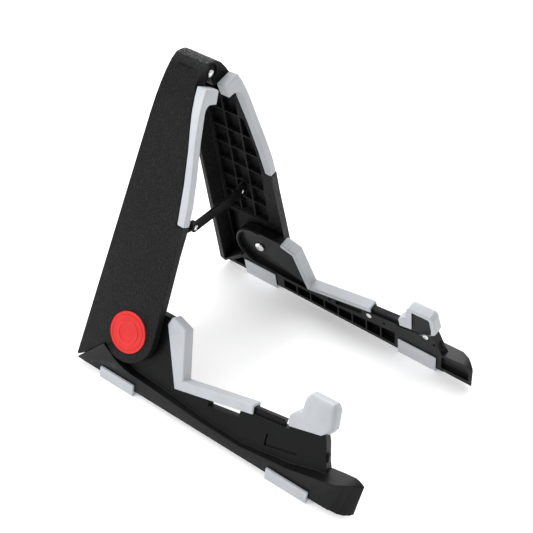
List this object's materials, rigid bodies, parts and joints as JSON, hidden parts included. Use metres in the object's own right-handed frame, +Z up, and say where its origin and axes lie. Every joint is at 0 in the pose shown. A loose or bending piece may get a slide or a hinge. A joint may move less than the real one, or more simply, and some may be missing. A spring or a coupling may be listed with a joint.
{
  "type": "folding guitar stand",
  "caption": "Folding A-frame guitar stand, opened: hinged side panels with padded edges and two fold-out foot arms that carry the body.",
  "frame": {"origin": "on the floor, under the middle of the opened stand's bounding box", "axes": "+Z up; -Y towards the player's side, where the foot arms point; +X to the right seen from the front, along the hinge's left-right spread"},
  "size_m": [0.257, 0.3115, 0.2897],
  "materials": {
    "grained_plastic": "leather-grained moulding",
    "plastic": "satin moulding",
    "rubber": "soft light grey elastomer",
    "red": "semi-gloss",
    "steel": "bright plated",
    "dark_steel": "black coated",
    "washer": "natural nylon"
  },
  "bodies": {
    "left_side": {"left_side_panel": "grained_plastic", "left_back_pad": "rubber", "left_disc_cap": "red", "left_pivot_bolt": "steel", "left_pivot_nut": "steel", "left_friction_washer": "washer", "left_brace_rivet": "steel", "hinge_pin": "steel", "hinge_pin_cap": "plastic"},
    "right_side": {"right_side_panel": "grained_plastic", "right_back_pad": "rubber", "right_disc_cap": "red", "right_pivot_bolt": "steel", "right_pivot_nut": "steel", "right_friction_washer": "washer", "right_brace_rivet": "steel"},
    "left_arm": {"left_foot_arm": "plastic", "left_cradle_pad": "rubber", "left_end_stop": "rubber", "left_rear_foot_pad": "rubber", "left_front_foot_pad": "rubber", "left_cradle_screw": "steel", "left_stop_screw": "steel", "left_small_screw": "dark_steel"},
    "left_link": {"left_brace_link": "dark_steel", "left_middle_rivet": "steel"},
    "right_arm": {"right_foot_arm": "plastic", "right_cradle_pad": "rubber", "right_end_stop": "rubber", "right_rear_foot_pad": "rubber", "right_front_foot_pad": "rubber", "right_cradle_screw": "steel", "right_stop_screw": "steel", "right_small_screw": "dark_steel"},
    "right_link": {"right_brace_link": "dark_steel", "right_middle_rivet": "steel"}
  },
  "joints": [
    {"name": "main_hinge", "type": "hinge", "parent": "left_side", "child": "right_side", "pos_m": [0, 0.11625, 0.279], "axis": [0, 1, 0], "range_deg": [0, 42]},
    {"name": "left_arm_hinge", "type": "hinge", "parent": "left_side", "child": "left_arm", "pos_m": [-0.09676, 0.10075, 0.05371], "axis": [-0.9336, 0, 0.3584], "range_deg": [0, 90]},
    {"name": "right_arm_hinge", "type": "hinge", "parent": "right_side", "child": "right_arm", "pos_m": [0.09676, 0.10075, 0.05371], "axis": [-0.9336, 0, -0.3584], "range_deg": [0, 90]},
    {"name": "right_brace_hinge", "type": "hinge", "parent": "right_side", "child": "right_link", "pos_m": [0.07564, 0.11975, 0.1238], "axis": [0, 1, 0], "range_deg": [0, 64.3]},
    {"name": "left_brace_hinge", "type": "hinge", "parent": "left_side", "child": "left_link", "pos_m": [-0.07564, 0.11975, 0.1238], "axis": [0, -1, 0], "range_deg": [0, 64.3]}
  ],
  "couplings": [
    {"joint": "right_brace_hinge", "follows": "main_hinge", "ratio": 1.53},
    {"joint": "left_brace_hinge", "follows": "main_hinge", "ratio": 1.53}
  ]
}
